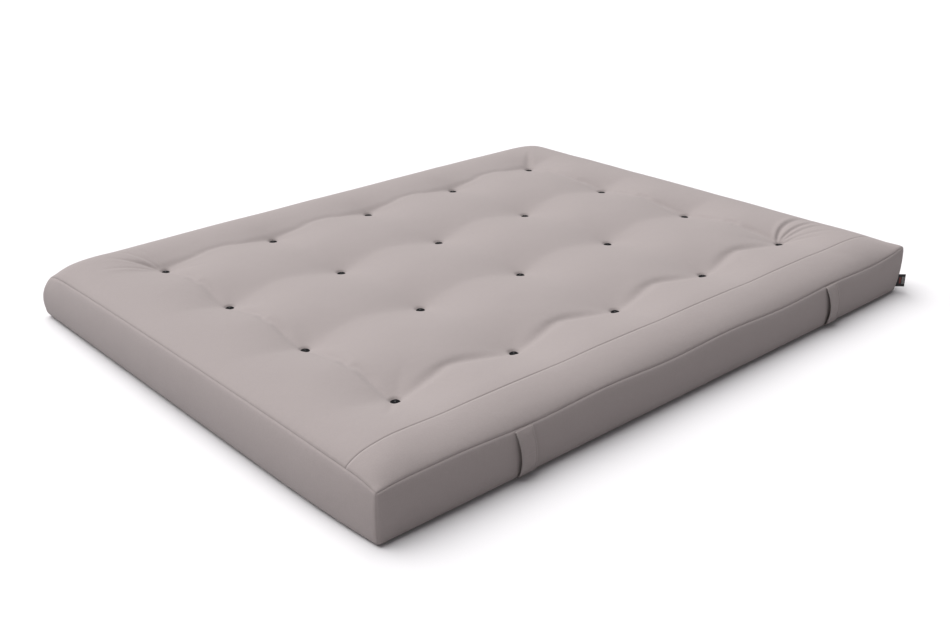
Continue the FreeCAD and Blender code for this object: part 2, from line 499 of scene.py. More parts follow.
@dataclass(frozen=True)
class TuftGrid:
    """Places of the tufts in plan, by row and column."""

    rows: int = 4
    columns: int = 5

    def node(self, side: Side, row: int, column: int) -> str:
        """Name of one tuft's node."""
        return f"tuft_{side.name.lower()}_row{row}_col{column}"

    def place(self, row: int, column: int) -> tuple[float, float]:
        """Centre of one tuft in plan, from the frame."""
        low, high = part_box(self.node(Side.TOP, row, column))
        return (low[0] + high[0]) / 2, (low[1] + high[1]) / 2

    def labels(self) -> list[tuple[int, int]]:
        """Row and column of every tuft."""
        return [(row, column) for row in range(1, self.rows + 1) for column in range(1, self.columns + 1)]

    def places(self) -> np.ndarray:
        """Centres of all the tufts, one per row of the array."""
        return np.array([self.place(row, column) for row, column in self.labels()])


# ---------------------------------------------------------------- cover


@dataclass(frozen=True)
class Crease:
    """One pulled fold in the top cloth, along a bent line in plan."""

    start: tuple[float, float]
    bend: tuple[float, float]
    end: tuple[float, float]
    depth: float
    width: float

    def line(self, steps: int = 28) -> np.ndarray:
        """Points along the fold."""
        share = np.linspace(0.0, 1.0, steps)[:, None]
        first, middle, last = (np.array(p) for p in (self.start, self.bend, self.end))
        return (1 - share) ** 2 * first + 2 * share * (1 - share) * middle + share ** 2 * last

    def drop(self, plan: np.ndarray) -> np.ndarray:
        """How far the cloth moves at each plan point: a valley with a ridge beside it.

        Args:
            plan: Positions in plan, one per row.

        Returns:
            Height change at each point.
        """
        line = self.line()
        near = np.full(len(plan), 1e9)
        signed = np.zeros(len(plan))
        along = np.zeros(len(plan))
        for index in range(len(line) - 1):
            start, step = line[index], line[index + 1] - line[index]
            share = np.clip(((plan - start) @ step) / (step @ step), 0.0, 1.0)
            away = plan - start - share[:, None] * step
            distance = np.hypot(away[:, 0], away[:, 1])
            closer = distance < near
            side = np.sign(step[0] * away[:, 1] - step[1] * away[:, 0])
            near = np.where(closer, distance, near)
            signed = np.where(closer, side * distance, signed)
            along = np.where(closer, (index + share) / (len(line) - 1), along)
        taper = smooth_step(along / 0.12 + 0.25) * smooth_step((1.0 - along) / 0.45)
        widen = self.width * (0.7 + 0.9 * along)
        valley = np.exp(-(signed / widen) ** 2)
        ridge = np.exp(-((signed - 1.7 * widen) / (1.2 * widen)) ** 2)
        return self.depth * taper * (0.6 * ridge - valley)


@dataclass
class CushionForm:
    """Shape that the filled cover takes, mapped from the flat-sided box it is cut for."""

    sizes: MattressSizes
    tufts: TuftGrid
    spacing: float = 0.0125
    crown_lift: float = 0.0070
    floor_seam: float = 0.004
    corner_seam: float = 0.131
    left_arch: float = 0.021
    right_arch: float = 0.000
    front_dip: float = 0.008
    back_arch: float = 0.014
    left_shoulder: float = 0.13
    right_shoulder: float = 0.22
    front_shoulder: float = 0.16
    back_shoulder: float = 0.09
    corner_swell: float = 0.004
    back_corner_swell: float = 0.018
    end_swell: float = 0.020
    side_bow: float = 0.004
    end_bow: float = 0.010
    corner_spread: float = 0.008
    end_spread: float = 0.021
    side_spread: float = 0.010
    side_swell: float = 0.011
    half_pitch: float = 0.185
    valley_depth: float = 0.0205
    row_fade: float = 0.66
    column_fade: float = 0.24
    valley_bow: float = 0.030
    valley_rounding: float = 0.007
    funnel_depth: float = 0.0050
    pit_depth: float = 0.0055
    pit_radius: float = 0.0145
    pinch: float = 0.007
    corner_tuck: float = 0.045
    creases: tuple[Crease, ...] = ()

    @property
    def band(self) -> float:
        """Height of the flat-cut band."""
        return self.sizes.top_seam - self.sizes.bottom_seam

    def cut(self) -> bmesh.types.BMesh:
        """The flat-sided box as a net of small squares, standing from zero to the band's height."""
        size = self.sizes
        spans = (2 * size.half_length, 2 * size.half_width, self.band)
        bm = bmesh.new()
        bmesh.ops.create_cube(bm, size=1.0)
        bmesh.ops.scale(bm, verts=bm.verts, vec=spans)
        bmesh.ops.translate(bm, verts=bm.verts, vec=(0, 0, self.band / 2))
        for axis, span in enumerate(spans):
            edges = [e for e in bm.edges if abs((e.verts[0].co - e.verts[1].co)[axis]) > 0.5 * span]
            cuts = round(span / self.spacing) - 1
            bmesh.ops.subdivide_edges(bm, edges=edges, cuts=cuts, use_grid_fill=True)
        self.snap_strip_seam(bm)
        return bm

    def snap_strip_seam(self, bm: bmesh.types.BMesh) -> None:
        """Move the nearest row of points on to the strip's seam."""
        seam = self.sizes.strip_seam
        rows = sorted({round(v.co.y, 6) for v in bm.verts}, key=lambda y: abs(y - seam))
        for vert in bm.verts:
            if abs(vert.co.y - rows[0]) < 1e-5:
                vert.co.y = seam

    def panel_of(self, centre: Vector) -> Panel:
        """Panel that a face of the flat-sided box belongs to."""
        size = self.sizes
        hair = 1e-4
        if centre.z > self.band - hair:
            return Panel.STRIP if centre.y < size.strip_seam else Panel.TOP
        if centre.z < hair:
            return Panel.BOTTOM
        if abs(centre.x) > size.half_length - hair:
            return Panel.LEFT if centre.x < 0 else Panel.RIGHT
        return Panel.FRONT if centre.y < 0 else Panel.BACK

    def seam_height(self, along: np.ndarray, across: np.ndarray) -> np.ndarray:
        """Height of the top seam nearest to each flat point.

        Args:
            along: Positions along the length, as shares of the half length.
            across: Positions across, as shares of the half width.

        Returns:
            Seam heights, blended between the nearest end and the nearest long side.
        """
        size = self.sizes
        end_arch = np.where(along < 0, self.left_arch, self.right_arch)
        end = self.corner_seam + end_arch * (1 - np.abs(across) ** 2.4)
        wave = 0.0035 * np.cos(13.4 * (along + 0.33)) - 0.004 * along
        front = self.corner_seam - (self.front_dip - wave) * (1 - np.abs(along) ** 8)
        back = self.corner_seam + self.back_arch * (1 - np.abs(along) ** 4)
        side = np.where(across < 0, front, back)
        to_end = size.half_length * (1 - np.abs(along)) + 0.004
        to_side = size.half_width * (1 - np.abs(across)) + 0.004
        near_end, near_side = 1 / to_end ** 2, 1 / to_side ** 2
        return (end * near_end + side * near_side) / (near_end + near_side)

    def nearest(self, values: np.ndarray, lines: np.ndarray) -> tuple[np.ndarray, np.ndarray]:
        """Distance of each value from its nearest line, and how far it lies past the outer lines."""
        away = np.min(np.abs(values[:, None] - lines[None, :]), axis=1)
        past = np.maximum(values - lines[-1], lines[0] - values)
        return away, np.maximum(past, 0.0)

    def valley(self, across: np.ndarray, along: np.ndarray, past: np.ndarray, fade: float,
               steepness: float = 2.0) -> np.ndarray:
        """Depth share of the valley that runs along a line of tufts.

        Args:
            across: Distance from the line.
            along: Distance along the line from the nearest tuft.
            past: Distance along the line past its last tuft.
            fade: Share of the depth that is left midway between two tufts.
            steepness: How fast the valley's sides rise.

        Returns:
            1 at a tuft, less between the tufts, and fading out past the last one.
        """
        soft = np.hypot(across, self.valley_rounding) - self.valley_rounding
        sides = (1 - np.minimum(soft / self.half_pitch, 1.0)) ** steepness
        near = (1 - np.minimum(along / self.half_pitch, 1.0)) ** 2
        outside = np.exp(-(past / 0.11) ** 1.5)
        return sides * (fade + (1 - fade) * near) * outside

    def pull(self, flat: np.ndarray) -> np.ndarray:
        """How far the tufts pull the top cloth down at each flat point.

        Args:
            flat: Flat positions, one per row.

        Returns:
            Depth below the crown.
        """
        columns, rows = self.lines()
        from_column, past_column = self.nearest(flat[:, 0], columns)
        from_row, past_row = self.nearest(flat[:, 1], rows)
        bow = self.valley_bow * np.sin(0.5 * math.pi * np.minimum(from_column / self.half_pitch, 1.0)) ** 2
        bowed = flat[:, 1] - bow * (past_column < 0.001)
        signed = bowed - rows[np.argmin(np.abs(bowed[:, None] - rows[None, :]), axis=1)]
        steepness = np.where(signed > 0, 2.4, 1.7)
        along_row = self.valley(np.abs(signed), from_column, past_column, self.row_fade, steepness)
        along_column = self.valley(from_column, from_row, past_row, self.column_fade)
        valleys = 1 - (1 - along_row) * (1 - along_column)
        away = np.clip(np.hypot(from_column, from_row), 0.012, 0.19)
        return self.valley_depth * valleys + self.funnel_depth * np.log(0.19 / away)

    def pit(self, flat: np.ndarray) -> np.ndarray:
        """Depth of the small pit that each tuft sits in, at each flat point."""
        columns, rows = self.lines()
        away = np.hypot(self.nearest(flat[:, 0], columns)[0], self.nearest(flat[:, 1], rows)[0])
        return self.pit_depth * np.exp(-(away / self.pit_radius) ** 4)

    def lines(self) -> tuple[np.ndarray, np.ndarray]:
        """Columns and rows that the tufts stand on."""
        places = self.tufts.places()
        return np.unique(places[:, 0].round(5)), np.unique(places[:, 1].round(5))

    def shaped(self, flat: np.ndarray) -> np.ndarray:
        """Map points of the flat-sided box to the filled shape.

        Args:
            flat: Flat positions, one per row.

        Returns:
            Positions on the filled cover.
        """
        size = self.sizes
        along, across = flat[:, 0] / size.half_length, flat[:, 1] / size.half_width
        share = flat[:, 2] / self.band
        seam = self.seam_height(along, across)
        on_end, on_side = np.abs(along) ** 16, np.abs(across) ** 16
        rise = swell(share)
        backward = smooth_step(0.5 + 0.5 * across)
        corner = self.corner_swell + (self.back_corner_swell - self.corner_swell) * backward
        grow_x = corner + (self.end_swell - corner) * (1 - np.abs(across) ** 5)
        grow_y = corner + (self.side_swell - corner) * (1 - np.abs(along) ** 9)
        spread_x = np.where(along < 0, self.end_spread, 0.5 * self.end_spread)
        near_front = (1 - backward) * np.abs(across) ** 6
        corner_x = np.where(along < 0, self.corner_spread, -self.corner_tuck)
        base_x = corner_x + (spread_x - corner_x) * (1 - near_front)
        base_y = self.corner_spread + (self.side_spread - self.corner_spread) * (1 - np.abs(along) ** 9)
        top_x = self.end_bow * (1 - across ** 2)
        top_y = self.side_bow * (1 - np.abs(along) ** 3)
        out_x = on_end * (grow_x * rise + base_x * (1 - share) ** 1.3 + top_x * share)
        out_y = on_side * (grow_y * rise + base_y * (1 - share) ** 1.3 + top_y * share)
        points = np.empty_like(flat)
        points[:, 0] = flat[:, 0] + np.sign(along) * out_x
        points[:, 1] = flat[:, 1] + np.sign(across) * out_y
        points[:, 2] = self.floor_seam + (seam - self.floor_seam) * share
        to_end = size.half_length - np.abs(flat[:, 0])
        to_side = size.half_width - np.abs(flat[:, 1])
        end_run = np.where(along < 0, self.left_shoulder, self.right_shoulder)
        side_run = np.where(across < 0, self.front_shoulder, self.back_shoulder)
        fall = 1 - (1 - shoulder(to_end / end_run)) * (1 - shoulder(to_side / side_run))
        crown = size.crown + self.crown_lift
        top = crown - (crown - seam) * fall - self.pull(flat) * (1 - fall)
        base_fall = 1 - (1 - shoulder(to_end / 0.03)) * (1 - shoulder(to_side / 0.03))
        lift = np.zeros(len(flat))
        for x, y in self.tufts.places():
            away = np.hypot(flat[:, 0] - x, flat[:, 1] - y)
            lift = np.maximum(lift, 0.030 * np.exp(-away / 0.045) - 0.002)
        base = np.maximum(self.floor_seam * base_fall, lift * (1 - base_fall))
        points[:, 2] = np.where(share > 1 - 1e-6, top, np.where(share < 1e-6, base, points[:, 2]))
        corner = to_end ** 2 + to_side ** 2 + (self.band * (1 - share)) ** 2
        ear = np.where((along > 0) & (across < 0), -0.9, 1.0)
        points[:, 2] -= self.pinch * ear * np.exp(-corner / 0.042 ** 2)
        return points

    def build(self) -> bpy.types.Object:
        """Build the whole cushion skin as one closed mesh.

        Returns:
            The object, with the panel of each face in its material index, and the flat
            positions in the point attribute "flat".
        """
        bm = self.cut()
        for face in bm.faces:
            face.material_index = PANELS.index(self.panel_of(face.calc_center_median()))
        layer = bm.verts.layers.float_vector.new("flat")
        flat = np.array([v.co[:] for v in bm.verts])
        points = self.shaped(flat)
        for vert, cut, point in zip(bm.verts, flat, points):
            vert[layer] = Vector(cut)
            vert.co = Vector(point)
        bmesh.ops.recalc_face_normals(bm, faces=bm.faces)
        skin = make_object("cushion_skin", bm, [])
        for panel in PANELS:
            skin.data.materials.append(bpy.data.materials.new(panel.value))
        return skin


@dataclass
class FillingPressure:
    """Cloth simulation that lets the filling press the cover out between the tufts."""

    frames: int = 20
    pressure: float = 4.0
    most: float = 0.005

    def run(self, skin: bpy.types.Object, tufts: TuftGrid, floor_hold: float) -> None:
        """Simulate, cap how far each point moves, and keep the result as the skin's mesh.

        Args:
            skin: The cushion's closed skin. Its borders keep their place.
            tufts: Where the cloth is held down.
            floor_hold: Height under which the cloth is held by the floor.
        """
        rest = mesh_points(skin.data)
        held = skin.vertex_groups.new(name="held")
        places = tufts.places()
        apart = rest[:, None, :2] - places[None, :, :2]
        reach = np.min(np.hypot(apart[:, :, 0], apart[:, :, 1]), axis=1)
        fixed = np.nonzero((reach < 0.016) | (rest[:, 2] < floor_hold))[0]
        held.add([int(i) for i in fixed], 1.0, "REPLACE")
        cloth = skin.modifiers.new("filling", "CLOTH")
        settings = cloth.settings
        settings.quality = 5
        settings.mass = 0.3
        settings.tension_stiffness = 20.0
        settings.compression_stiffness = 12.0
        settings.shear_stiffness = 6.0
        settings.bending_stiffness = 0.6
        settings.air_damping = 2.0
        settings.use_pressure = True
        settings.uniform_pressure_force = self.pressure
        settings.vertex_group_mass = "held"
        settings.effector_weights.gravity = 0.0
        scene = bpy.context.scene
        for frame in range(1, self.frames + 1):
            scene.frame_set(frame)
        moved = mesh_points(baked_mesh(skin)) - rest
        scene.frame_set(1)
        skin.modifiers.clear()
        length = np.linalg.norm(moved, axis=1, keepdims=True)
        moved *= np.minimum(1.0, self.most / np.maximum(length, 1e-9))
        from_end = np.max(np.abs(rest[:, 0])) - np.abs(rest[:, 0])
        from_side = np.max(np.abs(rest[:, 1])) - np.abs(rest[:, 1])
        moved *= smooth_step(np.minimum(from_end / 0.20, from_side / 0.16))[:, None]
        moved[rest[:, 2] < floor_hold] = 0.0
        set_mesh_points(skin.data, rest + moved)


@dataclass
class Cover:
    """The sewn cover: shapes it, fills it, adds its folds, and cuts it into its panels."""

    form: CushionForm
    cotton: bpy.types.Material
    seam_turn: float = 0.009
    seam_sink: float = 0.0010
    seam_line: float = 0.0007
    fold_reach: float = 0.030
    pit_reach: float = 0.022
    pucker_height: float = 0.0006
    pieces: dict[Panel, bpy.types.Object] = field(default_factory=dict)

    def skin(self) -> bpy.types.Object:
        """Shape and fill the cushion, then refine it and add creases and puckers."""
        skin = self.form.build()
        FillingPressure().run(skin, self.form.tufts, 0.012)
        finer = skin.modifiers.new("finer", "SUBSURF")
        finer.levels = 1
        finer.render_levels = 1
        mesh = baked_mesh(skin)
        skin.modifiers.clear()
        skin.data = mesh
        self.refine_folds(mesh)
        self.add_folds(mesh)
        return skin

    def refine_folds(self, mesh: bpy.types.Mesh) -> None:
        """Halve the net along the creases and round the tufts, so that folds and pits can be narrow."""
        form = self.form
        lines = np.concatenate([crease.line() for crease in form.creases])
        columns, rows = form.lines()
        bm = bmesh.new()
        bm.from_mesh(mesh)
        for reach in (self.fold_reach, self.pit_reach):
            middles = np.array([(e.verts[0].co + e.verts[1].co)[:] for e in bm.edges]) / 2
            from_tuft = np.hypot(form.nearest(middles[:, 0], columns)[0],
                                 form.nearest(middles[:, 1], rows)[0])
            near = from_tuft < reach
            if reach == self.fold_reach:
                top = np.nonzero((middles[:, 2] > 0.11) & (np.abs(middles[:, 0]) > 0.55))[0]
                away = np.hypot(middles[top, None, 0] - lines[:, 0], middles[top, None, 1] - lines[:, 1])
                near[top[np.min(away, axis=1) < 0.035]] = True
            edges = [edge for edge, picked in zip(bm.edges, near) if picked]
            bmesh.ops.subdivide_edges(bm, edges=edges, cuts=1, use_grid_fill=True)
        bm.to_mesh(mesh)
        bm.free()

    def add_folds(self, mesh: bpy.types.Mesh) -> None:
        """Move the skin's points for the creases, seam puckers and soft unevenness."""
        form = self.form
        size = form.sizes
        points = mesh_points(mesh)
        stored = np.empty(len(points) * 3)
        mesh.attributes["flat"].data.foreach_get("vector", stored)
        flat = stored.reshape(-1, 3)
        normals = np.empty(len(points) * 3)
        mesh.vertex_normals.foreach_get("vector", normals)
        normals = normals.reshape(-1, 3)
        on_top = smooth_step((flat[:, 2] - 0.9 * form.band) / (0.1 * form.band))
        lift = np.zeros(len(points))
        for crease in form.creases:
            lift += crease.drop(flat[:, :2]) * on_top
        to_end = size.half_length - np.abs(flat[:, 0])
        to_side = size.half_width - np.abs(flat[:, 1])
        to_top = form.band - flat[:, 2]
        ring = np.minimum(np.minimum(to_end + to_top, to_side + to_top), np.minimum(to_end + to_side, 1.0))
        puckers = np.sin(flat[:, 0] * 235 + 2.0 * rumple(flat, 6.0, 3.0)) + np.sin(
            flat[:, 1] * 221 + 2.0 * rumple(flat, 6.0, 9.0)) + np.sin(flat[:, 2] * 330) * (to_top > 0.001)
        strength = rumple(flat, 3.0, 17.0) * 0.5 + 0.5
        lift += self.pucker_height * 0.5 * puckers * strength * np.exp(-ring / 0.014)
        uneven = 0.0016 * rumple(flat, 3.4, 5.0) + 0.0006 * rumple(flat, 11.0, 7.0)
        lift += uneven * (points[:, 2] > 0.02)
        points += normals * lift[:, None]
        inside = np.sign(flat[:, 2] - 0.5 * form.band) * (to_end > 0.1) * (to_side > 0.1)
        points[:, 2] -= form.pit(flat) * inside
        points[:, 2] = np.maximum(points[:, 2], 0.0)
        set_mesh_points(mesh, points)

    def cut_panel(self, skin: bpy.types.Object, panel: Panel) -> bpy.types.Object:
        """Cut one panel from the skin, and turn its edges into the seams.

        Args:
            skin: The whole skin.
            panel: The panel to keep.

        Returns:
            The panel as a piece of its own.
        """
        bm = bmesh.new()
        bm.from_mesh(skin.data)
        layer = bm.verts.layers.float_vector["flat"]
        index = PANELS.index(panel)
        others = [f for f in bm.faces if f.material_index != index]
        bmesh.ops.delete(bm, geom=others, context="FACES")
        for face in bm.faces:
            face.material_index = 0
        bm.normal_update()
        bmesh.ops.inset_region(bm, faces=list(bm.faces), use_boundary=True, use_even_offset=True,
                               thickness=self.seam_line, depth=0.0)
        bm.normal_update()
        rim = [e for e in bm.edges if e.is_boundary]
        inward = {v: -v.normal.copy() for e in rim for v in e.verts}
        for vert, way in inward.items():
            vert.co += way * self.seam_sink
        made = bmesh.ops.extrude_edge_only(bm, edges=rim)["geom"]
        turned = [g for g in made if isinstance(g, bmesh.types.BMVert)]
        for vert in turned:
            source = min((e.other_vert(vert) for e in vert.link_edges if e.other_vert(vert) in inward),
                         key=lambda v: (v.co - vert.co).length)
            vert.co += inward[source] * self.seam_turn
        self.lay_flat_map(bm, layer, panel)
        bmesh.ops.recalc_face_normals(bm, faces=bm.faces)
        piece = make_object(panel.name.lower() + "_cloth", bm, [self.cotton])
        self.face_outwards(piece, panel)
        return piece

    def lay_flat_map(self, bm: bmesh.types.BMesh, layer: bmesh.types.BMLayerItem, panel: Panel) -> None:
        """Give a panel the map of its own flat cut, in metres."""
        across, up = {Panel.LEFT: (1, 2), Panel.RIGHT: (1, 2), Panel.FRONT: (0, 2),
                      Panel.BACK: (0, 2)}.get(panel, (0, 1))
        cloth = bm.loops.layers.uv.new("cloth")
        for face in bm.faces:
            for loop in face.loops:
                cut = loop.vert[layer]
                loop[cloth].uv = (cut[across], cut[up])

    def face_outwards(self, piece: bpy.types.Object, panel: Panel) -> None:
        """Turn a panel's faces outwards if the recalculation left them facing in."""
        ways = {Panel.BOTTOM: (0, 0, -1), Panel.LEFT: (-1, 0, 0), Panel.RIGHT: (1, 0, 0),
                Panel.FRONT: (0, -1, 0), Panel.BACK: (0, 1, 0)}
        way = Vector(ways.get(panel, (0, 0, 1)))
        total = sum((f.normal * f.area for f in piece.data.polygons), Vector())
        if total.dot(way) < 0:
            piece.data.flip_normals()

    def build(self) -> bpy.types.Object:
        """Build every panel. Returns the whole skin, for measuring the other pieces."""
        skin = self.skin()
        for panel in PANELS:
            piece = self.cut_panel(skin, panel)
            dress(piece, ROOT, "cover_cotton", panel.value)
            self.pieces[panel] = piece
            log.info("%s: %d faces", piece.name, len(piece.data.polygons))
        return skin


@dataclass
class SurfaceProbe:
    """Finds the cover's surface from a line outside it."""

    tree: BVHTree
    middle: float = 0.08

    @classmethod
    def of(cls, skin: bpy.types.Object) -> SurfaceProbe:
        """Make a probe for a mesh object that stands at the origin."""
        bm = bmesh.new()
        bm.from_mesh(skin.data)
        tree = BVHTree.FromBMesh(bm)
        bm.free()
        return cls(tree)

    def height(self, x: float, y: float, side: Side) -> float:
        """Height of the upper or lower face at a plan position, or the middle where there is no cloth."""
        start = Vector((x, y, side.value * 0.5))
        hit = self.tree.ray_cast(start, Vector((0, 0, -side.value)))[0]
        return hit.z if hit is not None else self.middle

    def front(self, x: float, z: float) -> float:
        """Y of the front band at a length position and a height."""
        return -self.reach(1, x, z, -1.0)

    def reach(self, axis: int, other: float, z: float, sign: float) -> float:
        """Distance from the middle to the band, at a height.

        Args:
            axis: 0 to look along the length, or 1 to look across.
            other: Position on the other axis.
            z: Height.
            sign: Side to look at, -1 or 1.

        Returns:
            The distance, or zero where there is no band.
        """
        start, way = Vector((other, other, z)), Vector((0, 0, 0))
        start[axis], way[axis] = 1.5 * sign, -sign
        hit = self.tree.ray_cast(start, way)[0]
        return abs(hit[axis]) if hit is not None else 0.0


# ---------------------------------------------------------------- tufts and twine


@dataclass
class TuftSet:
    """The felt pads in the dimples, with the twine's stitches over them."""

    grid: TuftGrid
    probe: SurfaceProbe
    felt: bpy.types.Material
    thread: bpy.types.Material
    radius: float = 0.012
    thickness: float = 0.005
    sink: float = 0.0006

    def pad(self, seed: int) -> bmesh.types.BMesh:
        """One pad, standing on zero: a soft disc with stitches over its middle.

        Args:
            seed: Number that makes the pad's rim uneven in its own way.

        Returns:
            The pad as a bmesh, felt in slot 0 and twine in slot 1.
        """
        bm = bmesh.new()
        half = self.thickness / 2
        outline = [(0.0, 0.0006), (0.55, 0.0), (0.85, 0.0001), (0.97, 0.0011), (1.0, half), (0.985, 0.0036),
                   (0.9, 0.0047), (0.7, 0.0052), (0.4, 0.0046), (0.0, 0.0036)]
        verts = [bm.verts.new((share * self.radius, 0, z)) for share, z in outline]
        edges = [bm.edges.new(pair) for pair in zip(verts, verts[1:])]
        bmesh.ops.spin(bm, geom=verts + edges, cent=(0, 0, 0), axis=(0, 0, 1), angle=math.tau, steps=36,
                       use_merge=True)
        bmesh.ops.remove_doubles(bm, verts=bm.verts, dist=1e-5)
        bmesh.ops.subdivide_edges(bm, edges=bm.edges, cuts=1, use_grid_fill=True)
        for vert in bm.verts:
            spot = vert.co * 260 + Vector((seed * 3.1, seed * 1.3, 0))
            vert.co += vert.co.normalized() * 0.0005 * noise.noise(spot)
            vert.co.z += 0.00035 * noise.noise(spot * 2.2)
        bmesh.ops.recalc_face_normals(bm, faces=bm.faces)
        for turn in (seed * 0.9, seed * 0.9 + 1.3):
            self.stitch(bm, turn)
        return bm

    def stitch(self, bm: bmesh.types.BMesh, turn: float) -> None:
        """Add one twine stitch that arches over the pad's middle, at a turn in plan."""
        made = bmesh.ops.create_circle(bm, segments=8, radius=0.00075)["verts"]
        bmesh.ops.rotate(bm, verts=made, matrix=Matrix.Rotation(math.pi / 2, 3, "Y"))
        bmesh.ops.translate(bm, verts=made, vec=(0, 0, 0.0042))
        ring = list({e for v in made for e in v.link_edges})
        bmesh.ops.rotate(bm, verts=made, cent=(0, 0, 0), matrix=Matrix.Rotation(-math.pi / 2, 3, "Y"))
        spun = bmesh.ops.spin(bm, geom=made + ring, cent=(0, 0, 0), axis=(0, 1, 0), angle=math.pi, steps=12)
        arch = set(made) | {g for g in spun["geom_last"] if isinstance(g, bmesh.types.BMVert)}
        frontier = list(arch)
        while frontier:
            grown = {e.other_vert(v) for v in frontier for e in v.link_edges} - arch
            arch |= grown
            frontier = list(grown)
        for vert in arch:
            vert.co.z = 0.0034 + vert.co.z * 0.62
            vert.co = Matrix.Rotation(turn, 3, "Z") @ vert.co
        faces = list({f for v in arch for f in v.link_faces})
        bmesh.ops.recalc_face_normals(bm, faces=faces)
        for face in faces:
            face.material_index = 1

    def build(self) -> None:
        """Build all the pads, above and below."""
        for side in Side:
            for number, (row, column) in enumerate(self.grid.labels()):
                x, y = self.grid.place(row, column)
                bm = self.pad(number + 40 * (side is Side.BOTTOM))
                if side is Side.BOTTOM:
                    bmesh.ops.rotate(bm, verts=bm.verts, matrix=Matrix.Rotation(math.pi, 3, "X"))
                around = [self.probe.height(x + 0.006 * math.cos(a), y + 0.006 * math.sin(a), side)
                          for a in np.linspace(0, math.tau, 8, endpoint=False)]
                seat = float(np.mean(around)) - side.value * self.sink
                bmesh.ops.translate(bm, verts=bm.verts, vec=(x, y, seat))
                node = self.grid.node(side, row, column)
                piece = make_object(f"{node}_felt", bm, [self.felt, self.thread])
                dress(piece, ROOT, "tuft_felt", node)
        log.info("tufts: %d", 2 * len(self.grid.labels()))


@dataclass
class TuftTwines:
    """The two-ply twines that join each upper tuft to the one below it."""

    grid: TuftGrid
    probe: SurfaceProbe
    twine: bpy.types.Material
    ply_radius: float = 0.0008
    turn_length: float = 0.006

    def build(self) -> None:
        """Build all the twines as one piece."""
        bm = bmesh.new()
        for x, y in self.grid.places():
            low = self.probe.height(x, y, Side.BOTTOM) + 0.0015
            high = self.probe.height(x, y, Side.TOP) + 0.0005
            turns = (high - low) / self.turn_length
            steps = int(turns * 10)
            for phase in (0.0, math.pi):
                made = bmesh.ops.create_circle(bm, segments=6, radius=self.ply_radius,
                                               cap_ends=True)["verts"]
                offset = Vector((math.cos(phase), math.sin(phase), 0)) * self.ply_radius * 0.9
                bmesh.ops.translate(bm, verts=made, vec=Vector((x, y, low)) + offset)
                geom = list({e for v in made for e in v.link_edges}
                            | {f for v in made for f in v.link_faces})
                bmesh.ops.spin(bm, geom=made + geom, cent=(x, y, low), axis=(0, 0, 1),
                               dvec=(0, 0, (high - low) / steps), angle=turns * math.tau, steps=steps)
        bmesh.ops.recalc_face_normals(bm, faces=bm.faces)
        piece = make_object("tuft_twines_plied", bm, [self.twine])
        dress(piece, ROOT, "tuft_twine", "tuft_twines")


# ---------------------------------------------------------------- straps and tab


